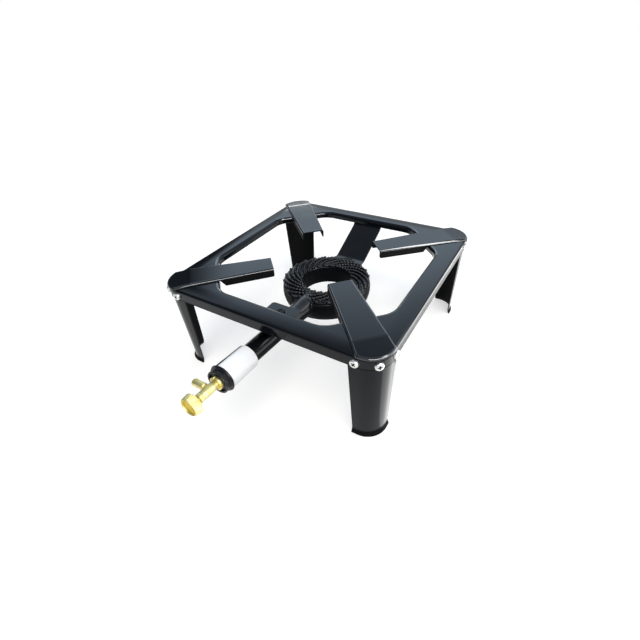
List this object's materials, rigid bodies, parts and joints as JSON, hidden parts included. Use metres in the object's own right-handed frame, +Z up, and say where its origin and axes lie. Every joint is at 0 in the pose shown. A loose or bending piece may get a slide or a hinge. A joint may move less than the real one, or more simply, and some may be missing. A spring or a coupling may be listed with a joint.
{
  "type": "outdoor gas stove",
  "caption": "Low square outdoor gas stove: black pressed steel frame on angled legs, corner pot supports, cast ring burner with mixing tube, air shutter and brass needle valve.",
  "frame": {"origin": "on the floor, straight under the middle of the burner ring", "axes": "+Z up, -Y towards the valve and its knob, +X to the right seen from the valve's side"},
  "size_m": [0.306, 0.4092, 0.1265],
  "materials": {
    "black_enamel": "gloss",
    "cast_iron": "satin",
    "black_paint": "satin",
    "zinc_steel": "satin",
    "white_label": "satin",
    "brass": "satin",
    "seal_rubber": "matte"
  },
  "bodies": {
    "stove": {"top_frame": "black_enamel", "pot_support_front_left": "black_enamel", "pot_support_front_right": "black_enamel", "pot_support_back_right": "black_enamel", "pot_support_back_left": "black_enamel", "leg_front_left": "black_enamel", "leg_front_right": "black_enamel", "leg_back_right": "black_enamel", "leg_back_left": "black_enamel", "front_bracket": "black_enamel", "rear_strap": "black_enamel", "burner_body": "cast_iron", "burner_crown": "cast_iron", "burner_screws": "black_paint", "burner_nut": "black_paint", "leg_screws": "zinc_steel", "leg_nuts": "zinc_steel", "label_sleeve": "white_label", "lock_ring": "brass", "injector": "brass", "valve_body": "brass", "inlet_spigot": "brass", "gland_nut": "brass", "stem_seal": "seal_rubber"},
    "needle": {"valve_needle": "brass"},
    "hand_wheel": {"valve_spindle": "brass", "knob": "brass"},
    "shutter": {"air_shutter": "black_paint"}
  },
  "joints": [
    {"name": "needle_slide", "type": "slide", "parent": "stove", "child": "needle", "axis": [0, -0.9982, 0.0593], "range_m": [0, 0.0015]},
    {"name": "knob_turn", "type": "hinge", "parent": "needle", "child": "hand_wheel", "pos_m": [0, -0.25116, 0.08962], "axis": [0, -0.9982, 0.0593], "range_deg": [0, 540]},
    {"name": "air_shutter_turn", "type": "hinge", "parent": "stove", "child": "shutter", "pos_m": [0, -0.21282, 0.08734], "axis": [0, -0.9982, 0.0593], "range_deg": [0, 45]}
  ],
  "couplings": [
    {"joint": "knob_turn", "follows": "needle_slide", "rad_per_m": 6283.2}
  ]
}
